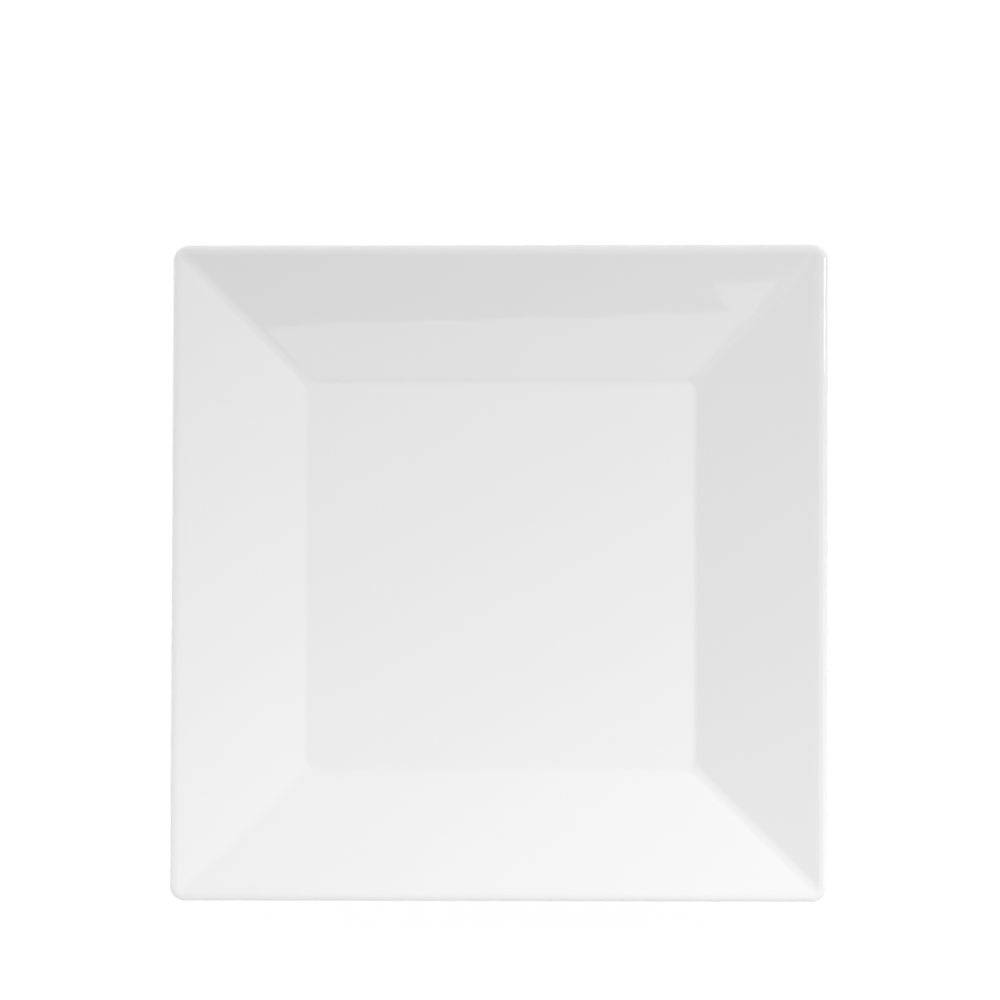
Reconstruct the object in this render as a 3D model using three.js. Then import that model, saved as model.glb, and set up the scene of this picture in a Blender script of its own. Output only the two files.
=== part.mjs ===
// A square porcelain plate: a flat well inside four broad sloping walls, which meet in soft mitres and
// roll over into a rounded rim. It stands on a square foot ring.
//
// The finished plate is three solids, bonded by firing. The porcelain body carries everything. The main
// glaze covers its face, rim and outside, and the base glaze covers the recess inside the foot ring. The
// foot is wiped bare before the last firing, so a band of bare body parts the two coats.
//
// Millimetres, +Z up. The origin lies on the table, under the middle of the plate.

import * as THREE from "three";

// Driving dimensions, measured over the glaze unless the line says otherwise
const PLATE_SIDE = 254; // outside of the rim, from flat to flat
const PLATE_HEIGHT = 28; // table to the top of the rim
const CORNER_RADIUS = 6; // of the rim's outline, seen from above
const WALL_WIDTH = 51.5; // of one sloping wall with its rim, seen from above
const WALL_THICKNESS = 4.8; // square to the wall
const RIM_ROLL_RADIUS = 6; // upper face of the wall over into the top of the rim
const RIM_EDGE_RADIUS = 2; // top of the rim into its outer face
const RIM_UNDER_RADIUS = 2.4; // outer face of the rim into the lower face of the wall
const WELL_CORNER_RADIUS = 3.5; // of the well's outline, seen from above
const WELL_FILLET = 7; // floor of the well into the walls
const FLOOR_THICKNESS = 5.5;
const FOOT_HEIGHT = 4; // table to the recess inside the foot ring
const FOOT_WIDTH = 5; // of the bare foot, before its edges are rounded
const FOOT_INSET = 3.5; // foot ring inside the well's outline, so that like plates nest
const FOOT_CORNER_RADIUS = 14; // of the foot ring's outline, seen from below
const FOOT_DRAFT_DEG = 12; // lean of the foot ring's sides, so that it leaves the mould
const FOOT_FILLET = 2; // foot ring into the wall and into the recess
const FOOT_EDGE_RADIUS = 0.8; // of the bare foot's two edges
const GLAZE_THICKNESS = 0.3;
const GLAZE_LINE = 1; // how high the foot's sides are wiped bare

// Facets
const ARC_STEP_DEG = 15;
const FEWEST_ARC_STEPS = 2;
const LEAST_RADIUS = 0.2;
const MOST_OF_A_LINE = 0.9;
const SAME_PLACE = 1e-6;

// Sizes that follow from the driving dimensions
const rimHalf = PLATE_SIDE / 2;
const wellHalf = rimHalf - WALL_WIDTH;
const floorHeight = FOOT_HEIGHT + FLOOR_THICKNESS;
const footHalf = wellHalf - FOOT_INSET;
const footDraft = THREE.MathUtils.degToRad(FOOT_DRAFT_DEG);
const arcStep = THREE.MathUtils.degToRad(ARC_STEP_DEG);

// The section

// One corner of the plate's section. The point's x is the plate's half-width there, and its y is the height.
// Seen from above the plate's corners are arcs, and cornerCentre is how far their centres lie from the
// plate's two middle lines.
function corner(point, cornerCentre, fillet = 0) {
  return { point, cornerCentre, fillet };
}

// Where the line through a along aWay crosses the line through b along bWay
function crossing(a, aWay, b, bWay) {
  const reach = b.clone().sub(a).cross(bWay) / aWay.cross(bWay);
  return a.clone().addScaledVector(aWay, reach);
}

// The well, the wall and the rim. The wall's upper face leaves the well's edge and rolls over into the rim,
// whose top is just wide enough for the roll and for the rounded edge. That fixes the wall's slope: its half
// angle's tangent t is the root of (rise - 2 roll) t^2 + 2 run t - rise = 0. The wall's lower face lies
// parallel to the upper one.
function faceCorners() {
  const wellEdge = new THREE.Vector2(wellHalf, floorHeight);
  const rise = PLATE_HEIGHT - floorHeight;
  const run = rimHalf - RIM_EDGE_RADIUS - wellHalf;
  const slope = 2 * Math.atan2(rise, run + Math.sqrt(run ** 2 + rise * (rise - 2 * RIM_ROLL_RADIUS)));
  const upWall = new THREE.Vector2(Math.cos(slope), Math.sin(slope));
  const outOfWall = new THREE.Vector2(-upWall.y, upWall.x);
  const upright = new THREE.Vector2(0, 1);
  const rimEdge = new THREE.Vector2(rimHalf, PLATE_HEIGHT);
  const rollWidth = RIM_ROLL_RADIUS * Math.tan(slope / 2);
  const rimCrest = new THREE.Vector2(rimHalf - RIM_EDGE_RADIUS - rollWidth, PLATE_HEIGHT);
  const wallBelow = rimCrest.clone().addScaledVector(outOfWall, -WALL_THICKNESS);
  const rimUnder = crossing(wallBelow, upWall, rimEdge, upright);
  const rimCorners = rimHalf - CORNER_RADIUS;

  const corners = [
    corner(new THREE.Vector2(0, floorHeight), 0),
    corner(wellEdge, wellHalf - WELL_CORNER_RADIUS, WELL_FILLET),
    corner(rimCrest, rimCorners, RIM_ROLL_RADIUS),
    corner(rimEdge, rimCorners, RIM_EDGE_RADIUS),
    corner(rimUnder, rimCorners, RIM_UNDER_RADIUS),
  ];
  return { corners, rimUnder, upWall };
}

// The plate's whole outer surface, from the middle of the well out over the rim and back along the underside.
// It is drawn as if the foot were glazed too, so on the foot it lies one coat outside the bare body.
function sectionCorners() {
  const face = faceCorners();
  const footCorners = footHalf - FOOT_CORNER_RADIUS;
  const outerSide = new THREE.Vector2(Math.sin(footDraft), Math.cos(footDraft));
  const innerSide = new THREE.Vector2(-outerSide.x, outerSide.y);

  // A coat on the leaning sides would stand this far out from the bare foot's edges
  const sideCoat = GLAZE_THICKNESS * (1 / Math.cos(footDraft) - Math.tan(footDraft));
  const outerEdge = new THREE.Vector2(footHalf + sideCoat, -GLAZE_THICKNESS);
  const innerEdge = new THREE.Vector2(footHalf - FOOT_WIDTH - sideCoat, -GLAZE_THICKNESS);
  const edgeRadius = FOOT_EDGE_RADIUS + GLAZE_THICKNESS;

  const level = new THREE.Vector2(1, 0);
  const glazeLine = new THREE.Vector2(0, GLAZE_LINE);
  const recess = new THREE.Vector2(0, FOOT_HEIGHT);

  return {
    outside: [
      ...face.corners,
      corner(crossing(face.rimUnder, face.upWall, outerEdge, outerSide), footCorners, FOOT_FILLET),
      corner(crossing(glazeLine, level, outerEdge, outerSide), footCorners),
    ],
    foot: [corner(outerEdge, footCorners, edgeRadius), corner(innerEdge, footCorners, edgeRadius)],
    inside: [
      corner(crossing(glazeLine, level, innerEdge, innerSide), footCorners),
      corner(crossing(recess, level, innerEdge, innerSide), footCorners, FOOT_FILLET),
      corner(recess, 0),
    ],
  };
}

// Stations along the section: where the surface is, which way it faces, and its corner centre there

// The turn at one corner of the section, and how far back from the corner its rounding would start
function turnAt(section, at) {
  const here = section[at];
  const arriving = here.point.clone().sub(section[at - 1].point).normalize();
  const leaving = section[at + 1].point.clone().sub(here.point).normalize();
  const turn = Math.atan2(arriving.cross(leaving), arriving.dot(leaving));
  return { arriving, turn, tangent: here.fillet * Math.abs(Math.tan(turn / 2)) };
}

// The length that one corner's rounding may take of the line to its neighbour: most of it if the neighbour is a
// plain point, and otherwise a share by what each rounding wants
function roomToward(section, at, neighbour) {
  const length = section[at].point.distanceTo(section[neighbour].point);
  if (!section[neighbour].fillet) return length * MOST_OF_A_LINE;
  const own = turnAt(section, at).tangent;
  return (length * own) / (own + turnAt(section, neighbour).tangent);
}

// An arc that rounds one corner. The radius is negative where the arc bulges out of the plate.
function roundedCorner(section, at) {
  const here = section[at];
  const { arriving, turn, tangent: wanted } = turnAt(section, at);
  const tangent = Math.min(wanted, roomToward(section, at, at - 1), roomToward(section, at, at + 1));
  const radius = tangent / Math.tan(turn / 2);
  const start = here.point.clone().addScaledVector(arriving, -tangent);
  const startFacing = new THREE.Vector2(-arriving.y, arriving.x);
  const arcCentre = start.clone().addScaledVector(startFacing, radius);

  const steps = Math.max(FEWEST_ARC_STEPS, Math.ceil(Math.abs(turn) / arcStep));
  return Array.from({ length: steps + 1 }, (_, step) => {
    const facing = startFacing.clone().rotateAround(new THREE.Vector2(), (turn * step) / steps);
    const place = arcCentre.clone().addScaledVector(facing, -radius);
    return { place, facing, cornerCentre: here.cornerCentre };
  });
}

// A point that needs no rounding faces square to the line it lies on
function plainStation(section, at) {
  const here = section[at];
  const along = (section[at + 1] ?? here).point.clone().sub((section[at - 1] ?? here).point).normalize();
  const facing = new THREE.Vector2(-along.y, along.x);
  return { place: here.point, facing, cornerCentre: here.cornerCentre };
}

function stationsOf(stretch, section) {
  const stations = stretch.flatMap((here) => {
    const at = section.indexOf(here);
    return here.fillet ? roundedCorner(section, at) : [plainStation(section, at)];
  });
  return stations.filter((it, i) => i === 0 || it.place.distanceTo(stations[i - 1].place) > SAME_PLACE);
}

// The surface one coat of glaze deeper
function underGlaze(stations) {
  return stations.map(({ place, facing, cornerCentre }) => ({
    place: place.clone().addScaledVector(facing, -GLAZE_THICKNESS),
    facing,
    cornerCentre,
  }));
}

// The square lathe

// The plate's outline at one station: a square with rounded corners, or one point in the middle of the plate
function outlineAt({ place, cornerCentre }) {
  const height = place.y;
  if (place.x < LEAST_RADIUS) return [[0, 0, height]];
  const radius = Math.max(place.x - cornerCentre, LEAST_RADIUS);
  const centre = place.x - radius;
  const steps = Math.round(Math.PI / 2 / arcStep);
  const outline = [];
  for (let quarter = 0; quarter < 4; quarter += 1) {
    for (let step = 0; step <= steps; step += 1) {
      const angle = (Math.PI / 2) * (step / steps);
      let x = centre + radius * Math.cos(angle);
      let y = centre + radius * Math.sin(angle);
      for (let turns = 0; turns < quarter; turns += 1) [x, y] = [-y, x];
      outline.push([x, y, height]);
    }
  }
  return outline;
}

// The triangles between two outlines. Each four-sided facet is split from the narrower outline to the wider
// one whichever comes first, so two solids that share a surface also share its triangles.
function bandBetween(first, second) {
  const triangles = [];
  const count = Math.max(first.length, second.length);
  const widens = second[0][0] > first[0][0];
  for (let i = 0; i < count; i += 1) {
    const next = (i + 1) % count;
    if (first.length === 1) {
      triangles.push([first[0], second[i], second[next]]);
    } else if (second.length === 1) {
      triangles.push([first[i], second[0], first[next]]);
    } else if (widens) {
      triangles.push([first[i], second[i], second[next]], [first[i], second[next], first[next]]);
    } else {
      triangles.push([first[i], second[i], first[next]], [second[i], second[next], first[next]]);
    }
  }
  return triangles;
}

// A solid from a profile that starts and ends in the middle of the plate, with its material on the right
function squareLathe(profile) {
  const outlines = profile.map(outlineAt);
  const triangles = outlines.slice(1).flatMap((outline, i) => bandBetween(outlines[i], outline));
  const geometry = new THREE.BufferGeometry();
  geometry.setAttribute("position", new THREE.Float32BufferAttribute(triangles.flat(2), 3));
  geometry.computeVertexNormals();
  return geometry;
}

// Materials

function barePorcelain() {
  return new THREE.MeshStandardMaterial({ color: 0xe6e2d9, roughness: 0.6, metalness: 0 });
}

function clearGlaze() {
  return new THREE.MeshStandardMaterial({ color: 0xf3f3f1, roughness: 0.12, metalness: 0 });
}

// The three solids

function piece(name, profile, material) {
  const mesh = new THREE.Mesh(squareLathe(profile), material);
  mesh.name = name;
  return mesh;
}

const { outside, foot, inside } = sectionCorners();
const section = [...outside, ...foot, ...inside];
const outsideGlaze = stationsOf(outside, section);
const insideGlaze = stationsOf(inside, section);
const outsideBody = underGlaze(outsideGlaze);
const footBody = underGlaze(stationsOf(foot, section));
const insideBody = underGlaze(insideGlaze);

const plate = new THREE.Group();
plate.name = "square_plate";
plate.add(piece("porcelain_body", [...outsideBody, ...footBody, ...insideBody], barePorcelain()));
plate.add(piece("main_glaze", [...outsideGlaze, ...outsideBody.toReversed()], clearGlaze()));
plate.add(piece("base_glaze", [...insideBody.toReversed(), ...insideGlaze], clearGlaze()));

export default plate;
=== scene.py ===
# %% [markdown]
# # A square porcelain plate
#
# This lesson dresses a plain white dinner plate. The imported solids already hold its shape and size: a clay
# body, a coat of glaze over its face and outside, and a second coat in the recess under it. What they lack is
# what the eye reads as porcelain: edges that the glaze has flowed over, walls that bowed a little in the
# kiln, a wet-looking gloss, and the dry matt clay of the foot ring, which is wiped clean before firing.

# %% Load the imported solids
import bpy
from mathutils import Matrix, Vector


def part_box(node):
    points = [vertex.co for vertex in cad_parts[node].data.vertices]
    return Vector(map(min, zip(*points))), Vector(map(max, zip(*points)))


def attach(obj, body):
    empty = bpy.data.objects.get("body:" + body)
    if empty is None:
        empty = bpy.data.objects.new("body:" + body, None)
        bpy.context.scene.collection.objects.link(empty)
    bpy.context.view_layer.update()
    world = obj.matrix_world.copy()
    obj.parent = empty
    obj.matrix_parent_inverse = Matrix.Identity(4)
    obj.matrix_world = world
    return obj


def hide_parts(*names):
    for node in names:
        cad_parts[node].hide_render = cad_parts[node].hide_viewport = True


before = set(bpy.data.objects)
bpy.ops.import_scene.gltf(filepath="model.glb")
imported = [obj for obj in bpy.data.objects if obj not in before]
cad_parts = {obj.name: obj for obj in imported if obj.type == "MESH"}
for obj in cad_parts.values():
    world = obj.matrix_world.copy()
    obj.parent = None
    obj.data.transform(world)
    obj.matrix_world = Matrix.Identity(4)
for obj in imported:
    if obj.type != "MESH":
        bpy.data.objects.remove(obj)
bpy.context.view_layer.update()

# %% [markdown]
# ## Small helpers for node trees
#
# Geometry, materials and the world are all node trees, and a tree built in a script is easier to read when
# adding a node and wiring it up is one call. An input is given either another node's output, which is linked,
# or a plain value, which is set.

# %% Helpers for node trees
import math

import bpy
from mathutils import Matrix, Vector

scene = bpy.context.scene


def put(socket, value):
    """Links an output to this input, or sets the input to a plain value."""
    if isinstance(value, bpy.types.NodeSocket):
        socket.id_data.links.new(value, socket)
    else:
        socket.default_value = value


def add(tree, kind, inputs, **settings):
    """Adds a node with its settings, then fills its inputs by name or by place."""
    node = tree.nodes.new(kind)
    for name, value in settings.items():
        setattr(node, name, value)
    for key, value in inputs.items():
        put(node.inputs[key], value)
    return node


def maths(tree, operation, *values):
    """The output of one Math node."""
    return add(tree, "ShaderNodeMath", dict(enumerate(values)), operation=operation).outputs[0]


def new_material(name):
    """An empty material and its tree."""
    material = bpy.data.materials.new(name)
    material.use_nodes = True
    material.node_tree.nodes.clear()
    return material, material.node_tree


def ramp(tree, factor, low, high, from_low=0.0, from_high=1.0):
    """A value carried from one range to another, held at its ends."""
    inputs = {"Value": factor, "From Min": from_low, "From Max": from_high, "To Min": low, "To Max": high}
    return add(tree, "ShaderNodeMapRange", inputs).outputs[0]


print("helpers ready")

# %% [markdown]
# ## The template
#
# A potter shapes a plate with a template: a plate-shaped edge that scrapes the clay as the mould turns. Here
# the template is a short list of corners. Each corner has a half-width, a height and a rounding. Because this
# plate is square, each corner also says where the arcs of the plate's four corners are centred, seen from
# above. The same corners, moved in by the thickness of the glaze, give the clay body underneath.
#
# The rim is rolled: the flat wall turns over in a wide, soft arc and ends in a small rounded edge. That is
# how a rim comes out of a press mould, and a wide arc chips less than a sharp edge does. The sizes are those
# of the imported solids; only the mitres between the walls are drawn a little crisper.

# %% Sizes of the template
from dataclasses import dataclass, replace

MM = 0.001
CORNER_RADIUS = 6.0 * MM
WALL_WIDTH = 51.5 * MM
WALL_THICKNESS = 4.8 * MM
RIM_ROLL = 6.0 * MM
RIM_EDGE = 2.0 * MM
RIM_UNDER = 2.4 * MM
WELL_CORNER_RADIUS = 3.5 * MM
WELL_ROUNDING = 7.0 * MM
MITRE_RADIUS = 3.0 * MM
FLOOR_THICKNESS = 5.5 * MM
FOOT_HEIGHT = 4.0 * MM
FOOT_WIDTH = 5.0 * MM
FOOT_INSET = 3.5 * MM
FOOT_CORNER_RADIUS = 14.0 * MM
FOOT_LEAN = math.radians(12.0)
FOOT_ROUNDING = 2.0 * MM
FOOT_EDGE_ROUNDING = 0.8 * MM
GLAZE = 0.3 * MM
GLAZE_LINE = 1.0 * MM
GLAZE_LIP = 0.2 * MM

rim_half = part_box("main_glaze")[1].x
rim_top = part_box("main_glaze")[1].z
well_half = rim_half - WALL_WIDTH
floor_height = FOOT_HEIGHT + FLOOR_THICKNESS
foot_half = well_half - FOOT_INSET
for title, half_width in (("rim", rim_half), ("well", well_half), ("foot", foot_half)):
    print(f"{title}: {2 * half_width / MM:.1f} mm across")


# %% Corners of the template
@dataclass
class Corner:
    """A corner of the template. Its place is (half-width, height)."""

    place: Vector
    arc_centre: float
    rounding: float = 0.0


def part_way(start, end, share, radius):
    """A plain point on the line between two places, where the plate's corners have this radius."""
    place = start.lerp(end, share)
    return Corner(place, place.x - radius)


def crossing(a, a_way, b, b_way):
    """Where the line through a along a_way crosses the line through b along b_way."""
    return a + a_way * ((b - a).cross(b_way) / a_way.cross(b_way))


well_edge = Vector((well_half, floor_height))
rise = rim_top - floor_height
run = rim_half - RIM_EDGE - well_half
slope = 2 * math.atan2(rise, run + math.sqrt(run**2 + rise * (rise - 2 * RIM_ROLL)))
up_wall = Vector((math.cos(slope), math.sin(slope)))
out_of_wall = Vector((-up_wall.y, up_wall.x))
rim_crest = Vector((rim_half - RIM_EDGE - RIM_ROLL * math.tan(slope / 2), rim_top))
rim_edge = Vector((rim_half, rim_top))
rim_under = crossing(rim_crest - out_of_wall * WALL_THICKNESS, up_wall, rim_edge, Vector((0.0, 1.0)))
print(f"the walls rise at {math.degrees(slope):.1f} degrees")

# %% The foot ring's corners
outer_side = Vector((math.sin(FOOT_LEAN), math.cos(FOOT_LEAN)))
inner_side = Vector((-outer_side.x, outer_side.y))
side_coat = GLAZE * (1 / math.cos(FOOT_LEAN) - math.tan(FOOT_LEAN))
outer_edge = Vector((foot_half + side_coat, -GLAZE))
inner_edge = Vector((foot_half - FOOT_WIDTH - side_coat, -GLAZE))
level = Vector((1.0, 0.0))
foot_join = crossing(rim_under, up_wall, outer_edge, outer_side)
outer_line = crossing(Vector((0.0, GLAZE_LINE)), level, outer_edge, outer_side)
inner_line = crossing(Vector((0.0, GLAZE_LINE)), level, inner_edge, inner_side)
recess_edge = crossing(Vector((0.0, FOOT_HEIGHT)), level, inner_edge, inner_side)
print(f"the foot stands {foot_join.y / MM:.1f} mm high outside and {FOOT_HEIGHT / MM:.1f} mm inside")

# %% The whole template
NEAR = 0.05
FAR = 0.95
UNDER_NEAR = 0.1
WELL_FLAT = 0.955
RECESS_FLAT = 0.06
RIM_UNDER_RADIUS = 6.0 * MM
FOOT_UNDER_RADIUS = 15.5 * MM
RECESS_RADIUS = 6.0 * MM

well_arcs = well_half - WELL_CORNER_RADIUS
rim_arcs = rim_half - CORNER_RADIUS
foot_arcs = foot_half - FOOT_CORNER_RADIUS
well_middle = Vector((0.0, floor_height))
recess_middle = Vector((0.0, FOOT_HEIGHT))
edge_rounding = FOOT_EDGE_ROUNDING + GLAZE

outside = [
    Corner(well_middle, 0.0),
    part_way(well_middle, well_edge, WELL_FLAT, WELL_CORNER_RADIUS / 2),
    Corner(well_edge, well_arcs, WELL_ROUNDING),
    part_way(well_edge, rim_crest, NEAR, MITRE_RADIUS),
    part_way(well_edge, rim_crest, FAR, MITRE_RADIUS),
    Corner(rim_crest, rim_arcs, RIM_ROLL),
    Corner(rim_edge, rim_arcs, RIM_EDGE),
    Corner(rim_under, rim_arcs, RIM_UNDER),
    part_way(rim_under, foot_join, UNDER_NEAR, RIM_UNDER_RADIUS),
    part_way(rim_under, foot_join, FAR, FOOT_UNDER_RADIUS),
    Corner(foot_join, foot_arcs, FOOT_ROUNDING),
    Corner(outer_line, foot_arcs),
]
foot = [Corner(outer_edge, foot_arcs, edge_rounding), Corner(inner_edge, foot_arcs, edge_rounding)]
inside = [
    Corner(inner_line, foot_arcs),
    Corner(recess_edge, foot_arcs, FOOT_ROUNDING),
    part_way(recess_edge, recess_middle, RECESS_FLAT, RECESS_RADIUS),
    Corner(recess_middle, 0.0),
]
print("template corners:", len(outside), "outside,", len(foot), "on the foot,", len(inside), "inside")


# %% The clay under the glaze
def under_glaze(template):
    """The same template, one coat of glaze further in. Hollow roundings open out, bulging ones close up."""
    places = [corner.place for corner in template]
    ways = [(end - start).normalized() for start, end in zip(places, places[1:])]
    inner = []
    for corner, first, last in zip(template, [ways[0], *ways], [*ways, ways[-1]]):
        # Both lines that meet here move in by one coat, so the corner moves a little further.
        facing = Vector((-first.y - last.y, first.x + last.x)) / (1 + first.dot(last))
        change = math.copysign(GLAZE, first.cross(last)) if corner.rounding else 0.0
        inner.append(replace(corner, place=corner.place - facing * GLAZE, rounding=corner.rounding + change))
    return inner


def with_lip(coat, at):
    """A coat whose end at the glaze line is rounded over."""
    return [replace(corner, rounding=GLAZE_LIP) if i == at else corner for i, corner in enumerate(coat)]


clay = under_glaze(outside + foot + inside)
clay_outside, clay_inside = clay[: len(outside)], clay[-len(inside) :]
main_coat = with_lip(outside, len(outside) - 1) + clay_outside[::-1]
base_coat = clay_inside[::-1] + with_lip(inside, 0)
print("corners: clay", len(clay), "main coat", len(main_coat), "base coat", len(base_coat))

# %% [markdown]
# ## The square lathe
#
# A round plate would be one Spin of the template. A square one has straight sides and arcs at its corners,
# and the arcs differ from the well to the rim, so no single spin or sweep gives it. It does follow a rule,
# though: every height of the plate is a square with rounded corners. Geometry Nodes can say exactly that. The
# tree joins the template's corners into a line, rounds them with Fillet Curve, and lays out a grid with one
# row for each point of the line. Each row then becomes that point's rounded square. Last, the walls bow and
# the rim sags a little, as they do in the kiln.

# %% Inputs of the lathe
lathe = bpy.data.node_groups.new("square_lathe", "GeometryNodeTree")
LATHE_INPUTS = {
    "Template": "NodeSocketGeometry",
    "Rounding steps": "NodeSocketInt",
    "Corner steps": "NodeSocketInt",
    "Side steps": "NodeSocketInt",
    "Wall foot": "NodeSocketFloat",
    "Wall top": "NodeSocketFloat",
    "Wall bow": "NodeSocketFloat",
    "Kiln sag": "NodeSocketFloat",
    "Sag scale": "NodeSocketFloat",
    "Sag seed": "NodeSocketFloat",
    "Finish": "NodeSocketMaterial",
}
lathe_ids = {
    name: lathe.interface.new_socket(name, in_out="INPUT", socket_type=kind).identifier
    for name, kind in LATHE_INPUTS.items()
}
lathe.interface.new_socket("Plate", in_out="OUTPUT", socket_type="NodeSocketGeometry")
given = lathe.nodes.new("NodeGroupInput").outputs
print("lathe inputs:", ", ".join(LATHE_INPUTS))

# %% Round the template
def attribute(tree, name):
    """A number stored on each corner of the template."""
    node = add(tree, "GeometryNodeInputNamedAttribute", {"Name": name}, data_type="FLOAT")
    return node.outputs["Attribute"]


order = add(lathe, "GeometryNodeInputIndex", {}).outputs[0]
points = add(lathe, "GeometryNodeMeshToPoints", {"Mesh": given["Template"]}).outputs[0]
line = add(lathe, "GeometryNodePointsToCurves", {"Points": points, "Weight": order}).outputs[0]
rounded = add(
    lathe,
    "GeometryNodeFilletCurve",
    {
        "Curve": line,
        "Count": given["Rounding steps"],
        "Radius": attribute(lathe, "rounding"),
        "Limit Radius": True,
    },
    mode="POLY",
).outputs[0]
counts = add(lathe, "GeometryNodeAttributeDomainSize", {"Geometry": rounded}, component="CURVE").outputs
stations = counts["Point Count"]
print("the template is joined up and rounded")

# %% Lay out a grid: a row for each station, and columns round the plate
QUARTERS = 4

quarter_steps = maths(lathe, "ADD", given["Corner steps"], given["Side steps"])
columns = maths(lathe, "MULTIPLY_ADD", quarter_steps, QUARTERS, 1.0)
grid = add(lathe, "GeometryNodeMeshGrid", {"Vertices X": stations, "Vertices Y": columns}).outputs["Mesh"]
row = maths(lathe, "FLOOR", maths(lathe, "DIVIDE", order, columns))
column = maths(lathe, "SUBTRACT", order, maths(lathe, "MULTIPLY", row, columns))


def at_station(kind, value):
    """What the rounded template holds at this row of the grid."""
    inputs = {"Geometry": rounded, "Value": value, "Index": row}
    return add(lathe, "GeometryNodeSampleIndex", inputs, data_type=kind, domain="POINT").outputs[0]


place = at_station("FLOAT_VECTOR", add(lathe, "GeometryNodeInputPosition", {}).outputs[0])
split = add(lathe, "ShaderNodeSeparateXYZ", {0: place}).outputs
half, height = split["X"], split["Z"]
arc_centre = at_station("FLOAT", attribute(lathe, "arc_centre"))
arc_radius = maths(lathe, "SUBTRACT", half, arc_centre)
print("the grid has a row for each station")

# %% Bend each row into a square with rounded corners
quarter = maths(lathe, "FLOOR", maths(lathe, "DIVIDE", column, quarter_steps))
step = maths(lathe, "SUBTRACT", column, maths(lathe, "MULTIPLY", quarter, quarter_steps))
arc_share = maths(lathe, "MINIMUM", maths(lathe, "DIVIDE", step, given["Corner steps"]), 1.0)
past_arc = maths(lathe, "SUBTRACT", step, given["Corner steps"])
side_share = add(
    lathe,
    "ShaderNodeMapRange",
    {"Value": past_arc, "From Max": given["Side steps"]},
    interpolation_type="SMOOTHERSTEP",
).outputs[0]
angle = maths(lathe, "MULTIPLY", arc_share, math.pi / 2)
# Along the side, this runs from one arc's centre to the next.
along = maths(lathe, "MULTIPLY", arc_centre, maths(lathe, "MULTIPLY_ADD", side_share, -2.0, 1.0))
corner_x = maths(lathe, "MULTIPLY_ADD", arc_radius, maths(lathe, "COSINE", angle), along)
corner_y = maths(lathe, "MULTIPLY_ADD", arc_radius, maths(lathe, "SINE", angle), arc_centre)
in_quarter = add(lathe, "ShaderNodeCombineXYZ", {"X": corner_x, "Y": corner_y}).outputs[0]
turned = add(
    lathe,
    "ShaderNodeVectorRotate",
    {"Vector": in_quarter, "Angle": maths(lathe, "MULTIPLY", quarter, math.pi / 2)},
    rotation_type="Z_AXIS",
).outputs[0]
print("each row is bent round the plate")

# %% Bow the walls and let the rim sag
across = ramp(lathe, half, 0.0, 1.0, given["Wall foot"], given["Wall top"])
# The hump is 4x(1 - x): nothing at the wall's foot and top, and 1 midway.
hump = maths(lathe, "MULTIPLY", across, maths(lathe, "MULTIPLY_ADD", across, -4.0, 4.0))
bow = maths(lathe, "MULTIPLY", hump, given["Wall bow"])
waves = add(
    lathe,
    "ShaderNodeTexNoise",
    {"Vector": turned, "W": given["Sag seed"], "Scale": given["Sag scale"], "Detail": 0.0},
    noise_dimensions="4D",
).outputs[0]
loose = maths(lathe, "MULTIPLY", across, across)
sag = maths(lathe, "MULTIPLY", maths(lathe, "MULTIPLY", waves, loose), given["Kiln sag"])
lift = maths(lathe, "SUBTRACT", maths(lathe, "ADD", height, bow), sag)
risen = add(lathe, "ShaderNodeCombineXYZ", {"Z": lift}).outputs[0]
shaped = add(lathe, "ShaderNodeVectorMath", {0: turned, 1: risen}, operation="ADD").outputs[0]
print("the walls bow and the rim sags")

# %% Close the seams and finish the tree
SEAM = 0.002 * MM
formed = add(lathe, "GeometryNodeSetPosition", {"Geometry": grid, "Position": shaped}).outputs[0]
closed = add(lathe, "GeometryNodeMergeByDistance", {"Geometry": formed, "Distance": SEAM}).outputs[0]
smooth = add(lathe, "GeometryNodeSetShadeSmooth", {"Geometry": closed}).outputs[0]
real = add(lathe, "GeometryNodeRealizeInstances", {"Geometry": smooth}).outputs[0]
dressed = add(lathe, "GeometryNodeSetMaterial", {"Geometry": real, "Material": given["Finish"]}).outputs[0]
add(lathe, "NodeGroupOutput", {"Plate": dressed})
print("lathe nodes:", len(lathe.nodes))

# %% [markdown]
# ## Glaze
#
# Glaze is a thin glass. On a white plate nearly all its character is in the gloss: it is smooth enough to
# mirror a lamp, but it never lies dead flat. Long, shallow swells come from the flow, and a fine ripple like
# orange peel from the spraying. It pools in the hollow where the walls meet the floor, and there it looks a
# trace cooler.
#
# A clear coat over a white shader could show this too, but the white lies in the glaze itself, so one
# Principled shader with the index of glass is enough. Swell and ripple are noise on the plate's own
# coordinates, which needs no unwrapping. The bare clay uses them as well, so they are a group.

# %% A group for fired surfaces
SWELL_DETAIL = 1.0
RIPPLE_DETAIL = 2.0
CLOUD_DETAIL = 4.0


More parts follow.
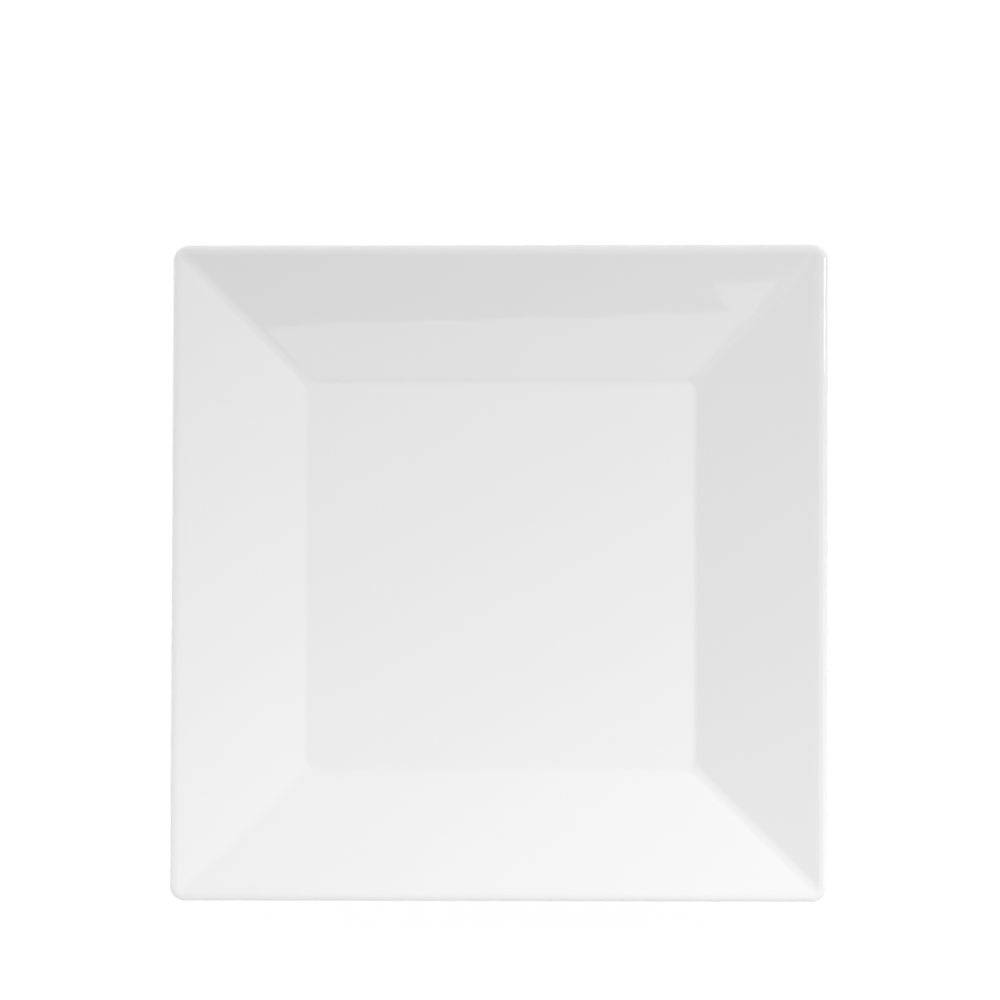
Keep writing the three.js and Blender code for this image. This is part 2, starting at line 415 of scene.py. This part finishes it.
def fired_surface():
    """Swell, ripple and cloud: slow and fine unevenness, and slow drifts of tone."""
    group = bpy.data.node_groups.new("fired_surface", "ShaderNodeTree")
    for name in ("Swell scale", "Ripple scale", "Ripple share"):
        group.interface.new_socket(name, in_out="INPUT", socket_type="NodeSocketFloat")
    for name in ("Height", "Cloud"):
        group.interface.new_socket(name, in_out="OUTPUT", socket_type="NodeSocketFloat")
    inputs = group.nodes.new("NodeGroupInput").outputs
    where = add(group, "ShaderNodeTexCoord", {}).outputs["Object"]

    def noise(scale, detail):
        """Soft blotches of this scale."""
        settings = {"Vector": where, "Scale": scale, "Detail": detail}
        return add(group, "ShaderNodeTexNoise", settings).outputs[0]

    swell = noise(inputs["Swell scale"], SWELL_DETAIL)
    ripple = noise(inputs["Ripple scale"], RIPPLE_DETAIL)
    cloud = noise(inputs["Swell scale"], CLOUD_DETAIL)
    height = maths(group, "MULTIPLY_ADD", ripple, inputs["Ripple share"], swell)
    add(group, "NodeGroupOutput", {"Height": height, "Cloud": cloud})
    return group


fired = fired_surface()


def fired_skin(tree, swell, ripple, share):
    """The group in a material, with its scales set."""
    skin = add(tree, "ShaderNodeGroup", {}, node_tree=fired)
    scales = {"Swell scale": swell, "Ripple scale": ripple, "Ripple share": share}
    for name, value in scales.items():
        put(skin.inputs[name], value)
    return skin.outputs


print("group:", fired.name)

# %% Blending colours, and measuring outward
COLOUR_A = 6
COLOUR_B = 7
COLOUR_RESULT = 2


def colour_between(tree, factor, first, second):
    """One colour fading into another. A Mix node keeps its colour sockets at fixed places."""
    inputs = {"Factor": factor, COLOUR_A: first, COLOUR_B: second}
    return add(tree, "ShaderNodeMix", inputs, data_type="RGBA").outputs[COLOUR_RESULT]


def ring_width(tree):
    """How far out from the plate's middle this point is, as a square spreads: the larger of |x| and |y|."""
    where = add(tree, "ShaderNodeTexCoord", {}).outputs["Object"]
    axes = add(tree, "ShaderNodeSeparateXYZ", {0: where}).outputs
    return maths(tree, "MAXIMUM", maths(tree, "ABSOLUTE", axes["X"]), maths(tree, "ABSOLUTE", axes["Y"]))


print(f"the glaze pools {well_half / MM:.1f} mm from the middle")

# %% White glaze
GLAZE_SWELL = 22.0
GLAZE_RIPPLE = 420.0
GLAZE_RIPPLE_SHARE = 0.012
GLAZE_BUMP = 0.2
GLAZE_BUMP_HEIGHT = 0.4 * MM
GLAZE_WHITE = (0.868, 0.868, 0.868, 1.0)
GLAZE_POOLED = (0.862, 0.863, 0.864, 1.0)
GLAZE_GLOSS = (0.012, 0.028)
GLAZE_IOR = 1.5
POOL_REACH = 3.0 * MM
CLOUD_SHARE = 0.3


def white_glaze():
    """Glossy white, a trace cooler where it pools at the well's edge."""
    material, tree = new_material("glossy_white_glaze")
    skin = fired_skin(tree, GLAZE_SWELL, GLAZE_RIPPLE, GLAZE_RIPPLE_SHARE)
    from_edge = maths(tree, "ABSOLUTE", maths(tree, "SUBTRACT", ring_width(tree), well_half))
    pool = ramp(tree, from_edge, 1.0, 0.0, 0.0, POOL_REACH)
    tone = maths(tree, "MULTIPLY_ADD", skin["Cloud"], CLOUD_SHARE, pool)
    white = colour_between(tree, tone, GLAZE_WHITE, GLAZE_POOLED)
    gloss = ramp(tree, skin["Cloud"], *GLAZE_GLOSS)
    bump = {"Height": skin["Height"], "Strength": GLAZE_BUMP, "Distance": GLAZE_BUMP_HEIGHT}
    relief = add(tree, "ShaderNodeBump", bump).outputs[0]
    inputs = {"Base Color": white, "Roughness": gloss, "Normal": relief, "IOR": GLAZE_IOR}
    shader = add(tree, "ShaderNodeBsdfPrincipled", inputs)
    add(tree, "ShaderNodeOutputMaterial", {"Surface": shader.outputs[0]})
    return material


glaze = white_glaze()
print("material:", glaze.name)

# %% [markdown]
# ## Bare clay
#
# The foot ring is unglazed porcelain: dry, matt and a little warmer than the glaze, with a fine grain like
# eggshell. It is rubbed on a stone after firing, so that it doesn't scratch the table. A picture of clay
# could be mapped onto it, but the group for fired surfaces gives it too, with a finer and stronger grain.

# %% Bare porcelain
CLAY_SWELL = 60.0
CLAY_GRAIN = 2600.0
CLAY_GRAIN_SHARE = 0.5
CLAY_BUMP = 0.25
CLAY_BUMP_HEIGHT = 0.1 * MM
CLAY_PALE = (0.80, 0.775, 0.725, 1.0)
CLAY_WARM = (0.74, 0.705, 0.64, 1.0)
CLAY_ROUGHNESS = (0.55, 0.8)


def bare_porcelain():
    """Dry, matt, fine-grained clay."""
    material, tree = new_material("dry_bare_clay")
    skin = fired_skin(tree, CLAY_SWELL, CLAY_GRAIN, CLAY_GRAIN_SHARE)
    colour = colour_between(tree, skin["Cloud"], CLAY_PALE, CLAY_WARM)
    dryness = ramp(tree, skin["Cloud"], *CLAY_ROUGHNESS)
    bump = {"Height": skin["Height"], "Strength": CLAY_BUMP, "Distance": CLAY_BUMP_HEIGHT}
    relief = add(tree, "ShaderNodeBump", bump).outputs[0]
    inputs = {"Base Color": colour, "Roughness": dryness, "Normal": relief}
    shader = add(tree, "ShaderNodeBsdfPrincipled", inputs)
    add(tree, "ShaderNodeOutputMaterial", {"Surface": shader.outputs[0]})
    return material


clay_finish = bare_porcelain()
print("material:", clay_finish.name)

# %% [markdown]
# ## Turning the three pieces
#
# The clay body is pressed and fired first, and shows only on the foot ring. The main coat of glaze covers the
# face, the rim and the outside, and ends in a line low on the foot. The second coat lies in the recess inside
# the ring. All three could be one mesh with two materials, but coats of their own have a real edge at the
# glaze line, where the bare clay steps back. So each piece is its own template on the same lathe. The result
# is turned into a plain mesh before it joins the frame.

# %% A template as points
def template_mesh(name, template):
    """The template's corners as loose points that carry their rounding and arc centre."""
    mesh = bpy.data.meshes.new(name)
    mesh.from_pydata([(corner.place.x, 0.0, corner.place.y) for corner in template], [], [])
    for kind in ("rounding", "arc_centre"):
        values = [getattr(corner, kind) for corner in template]
        mesh.attributes.new(kind, "FLOAT", "POINT").data.foreach_set("value", values)
    return mesh


print("points to turn:", sum(len(template) for template in (clay, main_coat, base_coat)))

# %% One piece on the lathe
WALL_BOW = 0.3 * MM
KILN_SAG = 0.12 * MM
LATHE_SETTINGS = {
    "Rounding steps": 14,
    "Corner steps": 14,
    "Side steps": 10,
    "Wall foot": well_half,
    "Wall top": rim_crest.x,
    "Wall bow": WALL_BOW,
    "Kiln sag": KILN_SAG,
    "Sag scale": 7.0,
    "Sag seed": 4.0,
}


def turn_piece(name, template, finish):
    """One piece of the plate as a plain closed mesh."""
    points = template_mesh(name + "_template", template)
    blank = bpy.data.objects.new(name + "_template", points)
    scene.collection.objects.link(blank)
    modifier = blank.modifiers.new("lathe", "NODES")
    modifier.node_group = lathe
    for title, value in (LATHE_SETTINGS | {"Finish": finish}).items():
        modifier[lathe_ids[title]] = value
    evaluated = blank.evaluated_get(bpy.context.evaluated_depsgraph_get())
    mesh = bpy.data.meshes.new_from_object(evaluated)
    mesh.name = name
    bpy.data.objects.remove(blank)
    bpy.data.meshes.remove(points)
    piece = bpy.data.objects.new(name, mesh)
    scene.collection.objects.link(piece)
    return piece


print(f"the walls bow by {WALL_BOW / MM} mm and the rim sags by up to {KILN_SAG / MM} mm")

# %% The three pieces
PIECES = [
    ("clay_body", clay, clay_finish, "porcelain_body", "bare_porcelain"),
    ("glaze_over_face_and_outside", main_coat, glaze, "main_glaze", "white_glaze"),
    ("glaze_in_the_recess", base_coat, glaze, "base_glaze", "white_glaze"),
]
for name, template, finish, node, slot in PIECES:
    piece = turn_piece(name, template, finish)
    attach(piece, "root")
    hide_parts(node)
    print(name, "stands for", node, "with", len(piece.data.polygons), "faces")

# %% [markdown]
# ## The camera
#
# The plate is seen from almost straight above through a long lens, a little from the near side and a little
# from the right, so the far wall looks slightly broader than the near one. A long lens far away keeps the
# four sides nearly parallel. The view looks at a point behind the plate, which sets the plate low in the
# picture without any lens shift. Blender's Track To would turn a camera that looks straight down, so its axes
# are worked out here from the line of sight and from the picture's upward direction. A trace of roll keeps
# the sides from looking ruled.

# %% Place the camera
EYE = Vector((0.1256, -0.1925, 3.0))
LOOKS_AT = Vector((-0.0007, 0.0299, 0.0))
PICTURE_UP = Vector((0.0, 1.0, 0.0))
ROLL = math.radians(0.165)
LENS_MM = 278.1
SENSOR_MM = 36.0
FARTHEST_SEEN = 20.0


def place_camera():
    """Makes the camera that the plate is photographed with."""
    backward = (EYE - LOOKS_AT).normalized()
    rightward = PICTURE_UP.cross(backward).normalized()
    upward = backward.cross(rightward)
    axes = Matrix((rightward, upward, backward)).transposed()
    lens = bpy.data.cameras.new("camera")
    lens.lens = LENS_MM
    lens.sensor_width = SENSOR_MM
    lens.clip_end = FARTHEST_SEEN
    camera = bpy.data.objects.new("camera", lens)
    camera.matrix_world = Matrix.Translation(EYE) @ axes.to_4x4() @ Matrix.Rotation(ROLL, 4, "Z")
    scene.collection.objects.link(camera)
    scene.camera = camera
    return camera


camera = place_camera()
print("camera:", [round(v, 3) for v in camera.location], "lens", LENS_MM, "mm")

# %% [markdown]
# ## The white ground
#
# The plate lies on a plain white sweep. The surroundings are plain white to the lens and in reflections, but
# light the plate only softly, so the shape is drawn by the panels below. The ground glows where the lens sees
# it, as an overexposed white table does, and the plate's shadow darkens that glow under the rim. Further out
# the glow rises to plain white, so no horizon shows.
#
# A window in the ground, just narrower than the foot, lets light in from below, and the ground is clear from
# underneath. In the picture neither can be seen, but they let the foot and the recess be looked at as well.

# %% Surroundings
SURROUND_LIGHT = 0.325
PLAIN_WHITE = (1.0, 1.0, 1.0, 1.0)
WHITE_STRENGTH = 1.0


def seen_directly(tree):
    """1 for rays from the lens, and for those that gloss or glass sends on; 0 for light that only bounces."""
    path = add(tree, "ShaderNodeLightPath", {})
    mirrored = maths(tree, "MAXIMUM", path.outputs["Is Glossy Ray"], path.outputs["Is Transmission Ray"])
    return maths(tree, "MAXIMUM", path.outputs["Is Camera Ray"], mirrored)


def white_surroundings():
    """A world that is white to look at and gives soft light from everywhere."""
    world = bpy.data.worlds.new("white_surroundings")
    world.use_nodes = True
    tree = world.node_tree
    tree.nodes.clear()
    soft = add(tree, "ShaderNodeBackground", {"Color": PLAIN_WHITE, "Strength": SURROUND_LIGHT})
    white = add(tree, "ShaderNodeBackground", {"Color": PLAIN_WHITE, "Strength": WHITE_STRENGTH})
    direct = seen_directly(tree)
    mixed = add(tree, "ShaderNodeMixShader", {0: direct, 1: soft.outputs[0], 2: white.outputs[0]})
    add(tree, "ShaderNodeOutputWorld", {"Surface": mixed.outputs[0]})
    scene.world = world


white_surroundings()
print("world:", scene.world.name, "with soft light", SURROUND_LIGHT)

# %% Finish of the ground
GROUND_WHITE = (0.9, 0.9, 0.9, 1.0)
GROUND_SHADE = (0.25, 0.25, 0.25, 1.0)
NEAR_GLOW = 0.83
FAR_GLOW = 1.0
NEAR_GROUND = 0.25
FAR_GROUND = 1.0


def ground_glow(tree):
    """How brightly the ground glows to the lens: less near the plate, plain white far from it."""
    where = add(tree, "ShaderNodeTexCoord", {}).outputs["Object"]
    out = add(tree, "ShaderNodeVectorMath", {0: where}, operation="LENGTH").outputs["Value"]
    return ramp(tree, out, NEAR_GLOW, FAR_GLOW, NEAR_GROUND, FAR_GROUND)


def ground_material():
    """White to look at, with a soft shadow; plain white for the light it sends back; clear from below."""
    material, tree = new_material("white_ground")
    bounce = add(tree, "ShaderNodeBsdfDiffuse", {"Color": GROUND_WHITE})
    shaded = add(tree, "ShaderNodeBsdfDiffuse", {"Color": GROUND_SHADE})
    glow = add(tree, "ShaderNodeEmission", {"Strength": ground_glow(tree)})
    seen = add(tree, "ShaderNodeAddShader", {0: shaded.outputs[0], 1: glow.outputs[0]})
    direct = seen_directly(tree)
    above = add(tree, "ShaderNodeMixShader", {0: direct, 1: bounce.outputs[0], 2: seen.outputs[0]})
    clear = add(tree, "ShaderNodeBsdfTransparent", {})
    below = add(tree, "ShaderNodeNewGeometry", {}).outputs["Backfacing"]
    whole = add(tree, "ShaderNodeMixShader", {0: below, 1: above.outputs[0], 2: clear.outputs[0]})
    add(tree, "ShaderNodeOutputMaterial", {"Surface": whole.outputs[0]})
    return material


ground_finish = ground_material()
print("material:", ground_finish.name)

# %% Lay the ground with its window
GROUND_REACH = 3.0
GROUND_DROP = 0.05 * MM
WINDOW_MARGIN = 0.2 * MM
WINDOW_STEPS = 8


def window_quarter():
    """A quarter of the window's outline: an arc under the foot's standing face, just inside its edge."""
    radius = FOOT_CORNER_RADIUS - FOOT_EDGE_ROUNDING - WINDOW_MARGIN
    for step in range(WINDOW_STEPS + 1):
        angle = step / WINDOW_STEPS * math.pi / 2
        yield foot_arcs + radius * math.cos(angle), foot_arcs + radius * math.sin(angle)


def lay_ground():
    """A wide flat sheet with a window under the plate's foot, built one quarter turn at a time."""
    outline = [(GROUND_REACH, GROUND_REACH), *window_quarter()]
    corners, faces = [], []
    for quarter in range(QUARTERS):
        turn = Matrix.Rotation(quarter * math.pi / 2, 3, "Z")
        first = len(corners)
        onward = (first + len(outline)) % (QUARTERS * len(outline))
        corners.extend(turn @ Vector((x, y, -GROUND_DROP)) for x, y in outline)
        # A fan of triangles joins the far corner to the arc, and one face reaches on to the next quarter.
        faces.extend((first, first + step + 1, first + step) for step in range(1, len(outline) - 1))
        faces.append((first, onward, onward + 1, first + len(outline) - 1))
    mesh = bpy.data.meshes.new("ground")
    mesh.from_pydata(corners, [], faces)
    mesh.materials.append(ground_finish)
    ground = bpy.data.objects.new("ground", mesh)
    scene.collection.objects.link(ground)
    return ground


ground = lay_ground()
print("ground:", ground.name, 2 * GROUND_REACH, "m wide with", len(ground.data.polygons), "faces")

# %% [markdown]
# ## Soft panels of light
#
# White on white is drawn by light alone, so each panel has a task. The lens doesn't see the panels, but the
# glaze mirrors them. The right key lights the left wall and puts a bright line on the right rim; the far key
# lights the near wall. Both aim past the plate, so that their light grows toward the near right corner. The
# near panel is mirrored in the lower half of the far wall, where it makes a paler band. A flap on its upper
# edge carries that band higher at the right. The flap's end leans, and a lamp can only be a rectangle, so the
# flap is built from rows, each a little longer than the one below it.
#
# The rim's outer edge looks sideways and down, where no panel is. White cards that lie on the table close to
# the plate light it, as reflectors do in a studio. So does a strip on the left, which is no taller than the
# rim, so that its light doesn't reach the face. The foot panel lies below the window and lights the foot and
# the recess.

# %% A sheet of light
def toward(bearing, elevation):
    """A direction. The bearing runs clockwise from the far side of the plate."""
    turn, tilt = math.radians(bearing), math.radians(elevation)
    return Vector((math.sin(turn) * math.cos(tilt), math.cos(turn) * math.cos(tilt), math.sin(tilt)))


def light_sheet(name, width, height, watts, place):
    """A rectangle of even light that shines along its own downward axis."""
    lamp = bpy.data.lights.new(name, "AREA")
    lamp.shape = "RECTANGLE"
    lamp.size = width
    lamp.size_y = height
    lamp.energy = watts
    sheet = bpy.data.objects.new(name, lamp)
    sheet.matrix_world = place
    sheet.visible_camera = False
    scene.collection.objects.link(sheet)
    return sheet


print("a bearing of 90 degrees looks along", [round(v, 2) for v in toward(90.0, 0.0)])

# %% The two keys
PLATE_MIDDLE = Vector((0.0, 0.0, 0.0))
PAST_THE_PLATE = Vector((0.1, -0.35, 0.0))
ALL_ROUND = 180.0


def soft_panel(name, direction, distance, size, watts, aim=PLATE_MIDDLE, roll=0.0, spread=ALL_ROUND):
    """A panel out in this direction (bearing, elevation), turned to face a point."""
    middle = toward(*direction) * distance
    facing = (middle - aim).to_track_quat("Z", "Y").to_matrix().to_4x4()
    rolled = facing @ Matrix.Rotation(math.radians(roll), 4, "Z")
    panel = light_sheet(name, *size, watts, Matrix.Translation(middle) @ rolled)
    panel.data.spread = math.radians(spread)
    return panel


soft_panel(
    "right_key",
    direction=(76.0, 36.0),
    distance=1.8,
    size=(0.16, 0.5),
    watts=1.98,
    aim=PAST_THE_PLATE,
    spread=60.0,
)
far_key = soft_panel(
    "far_key",
    direction=(-20.0, 35.0),
    distance=1.8,
    size=(0.9, 0.6),
    watts=1.33,
    aim=PAST_THE_PLATE,
    spread=50.0,
)
far_key.visible_glossy = False
print("both keys aim at", [round(v, 2) for v in PAST_THE_PLATE])

# %% The near panel and its flap
FLAP_ROWS = 3


def raise_flap(panel, start, end, lean, height):
    """Rows as bright as the panel, standing on its upper edge. Their left end leans outward."""
    whole = panel.data
    row_height = height / FLAP_ROWS
    for row in range(FLAP_ROWS):
        up = (row + 0.5) * row_height
        left = start - lean * up / height
        width = end - left
        watts = whole.energy * width * row_height / (whole.size * whole.size_y)
        shift = Matrix.Translation((left + width / 2, whole.size_y / 2 + up, 0.0))
        light_sheet(f"{panel.name}_flap_{row + 1}", width, row_height, watts, panel.matrix_world @ shift)


near_panel = soft_panel(
    "near_panel", direction=(180.0, 40.0), distance=0.7, size=(1.0, 0.532), watts=1.71, roll=2.5
)
raise_flap(near_panel, start=0.09, end=0.394, lean=0.0075, height=0.024)
print("the near panel has a flap of", FLAP_ROWS, "rows")

# %% Light for the rim's edge and for the foot
CARD_LENGTH = 0.36
CARD_WIDTH = 0.09
CARD_GAP = 0.004


def lay_card(name, bearing, watts):
    """A card that lies on the table beyond one side of the plate and shines up under its rim."""
    middle = toward(bearing, 0.0) * (rim_half + CARD_GAP + CARD_WIDTH / 2)
    middle.z = -GROUND_DROP / 2
    facing_up = Matrix.Rotation(-math.radians(bearing), 4, "Z") @ Matrix.Rotation(math.pi, 4, "X")
    light_sheet(name, CARD_LENGTH, CARD_WIDTH, watts, Matrix.Translation(middle) @ facing_up)


lay_card("right_card", bearing=90.0, watts=0.023)
lay_card("near_card", bearing=180.0, watts=0.036)
lay_card("left_card", bearing=270.0, watts=0.07)
soft_panel("left_strip", direction=(270.0, 2.0), distance=0.4, size=(0.8, 0.028), watts=0.42)
foot_panel = soft_panel("foot_panel", direction=(0.0, -90.0), distance=0.3, size=(0.6, 0.6), watts=0.9)
foot_panel.visible_glossy = False
for sheet in [piece for piece in scene.objects if piece.type == "LIGHT"]:
    print("light:", sheet.name, [round(v, 2) for v in sheet.location], round(sheet.data.energy, 3), "W")

# %% [markdown]
# ## Plain colour
#
# The picture uses plain colour, with no look applied. The imported solids stay in the scene, hidden,
# beside the finished pieces.

scene.view_settings.view_transform = "Standard"
